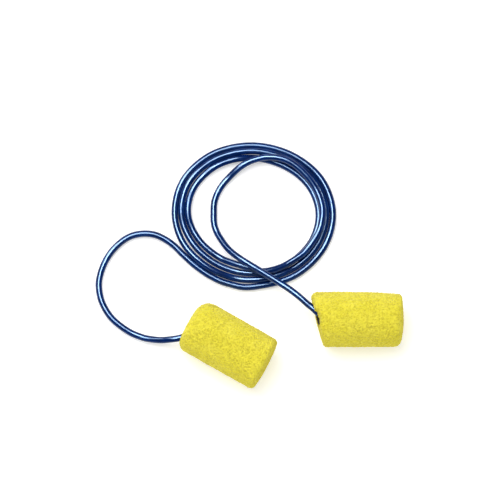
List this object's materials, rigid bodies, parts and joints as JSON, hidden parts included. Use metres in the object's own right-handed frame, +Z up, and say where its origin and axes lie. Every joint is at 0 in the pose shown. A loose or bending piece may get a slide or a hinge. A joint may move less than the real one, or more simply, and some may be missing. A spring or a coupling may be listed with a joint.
{
  "type": "foam ear plugs",
  "caption": "Corded foam ear plugs: soft yellow cylindrical plugs joined by a thin blue vinyl cord that lies in a loose coil, each plug free to swing where the cord enters it.",
  "frame": {"origin": "on the table under the middle of the box around the two foam plugs", "axes": "+X to the right along the right plug, +Y away from the viewer towards the coiled cord, +Z up"},
  "size_m": [0.0695, 0.0571, 0.0124],
  "materials": {
    "foam": "matte",
    "cord": "gloss",
    "adhesive": "satin"
  },
  "bodies": {
    "cord": {"cord_coil": "cord", "cord_left_loop": "cord", "cord_right_lead": "cord"},
    "left_plug": {"left_foam_plug": "foam", "left_cord_end": "cord", "left_adhesive_bond": "adhesive"},
    "right_plug": {"right_foam_plug": "foam", "right_cord_end": "cord", "right_adhesive_bond": "adhesive"}
  },
  "joints": [
    {"name": "left_plug_swing", "type": "hinge", "parent": "cord", "child": "left_plug", "pos_m": [-0.02385, 0.00137, 0.0036], "axis": [0, 0, 1], "range_deg": [-5, 35]},
    {"name": "right_plug_swing", "type": "hinge", "parent": "cord", "child": "right_plug", "pos_m": [0.00581, 0.00618, 0.00635], "axis": [0, 0, 1], "range_deg": [-75, 3]}
  ]
}
